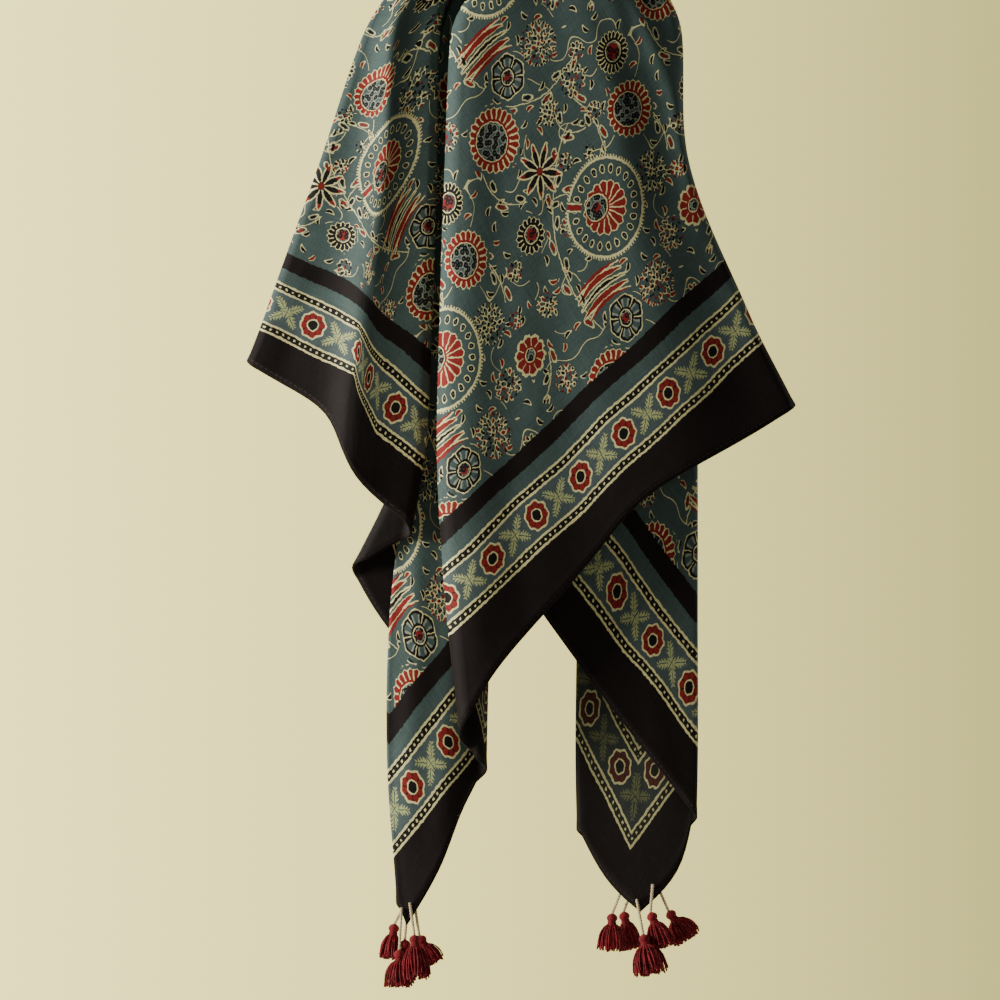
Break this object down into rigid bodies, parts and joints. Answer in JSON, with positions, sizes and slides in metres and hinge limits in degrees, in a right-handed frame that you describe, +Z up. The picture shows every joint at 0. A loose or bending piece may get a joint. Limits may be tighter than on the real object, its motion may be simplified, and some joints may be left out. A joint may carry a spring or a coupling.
{
  "type": "printed silk scarf",
  "caption": "Block-printed silk cloth with wide borders and small corner tassels on cords, hung from a point so that it falls in loose folds.",
  "frame": {"origin": "the point the cloth hangs from, at the top of its rounded cap", "axes": "+Z up, -Y towards the viewer, +X to the viewer's right"},
  "size_m": [0.4368, 0.0933, 0.9978],
  "materials": {
    "printed_silk": "satin",
    "tassel_yarn": "matte",
    "cord_yarn": "matte"
  },
  "bodies": {
    "root": {"cloth": "printed_silk", "tassel_a1": "tassel_yarn", "tassel_a2": "tassel_yarn", "tassel_a3": "tassel_yarn", "tassel_a4": "tassel_yarn", "tassel_a5": "tassel_yarn", "tassel_b1": "tassel_yarn", "tassel_b2": "tassel_yarn", "tassel_b3": "tassel_yarn", "tassel_b4": "tassel_yarn", "tassel_b5": "tassel_yarn", "cord_a1": "cord_yarn", "cord_a2": "cord_yarn", "cord_a3": "cord_yarn", "cord_a4": "cord_yarn", "cord_a5": "cord_yarn", "cord_b1": "cord_yarn", "cord_b2": "cord_yarn", "cord_b3": "cord_yarn", "cord_b4": "cord_yarn", "cord_b5": "cord_yarn"}
  },
  "joints": []
}
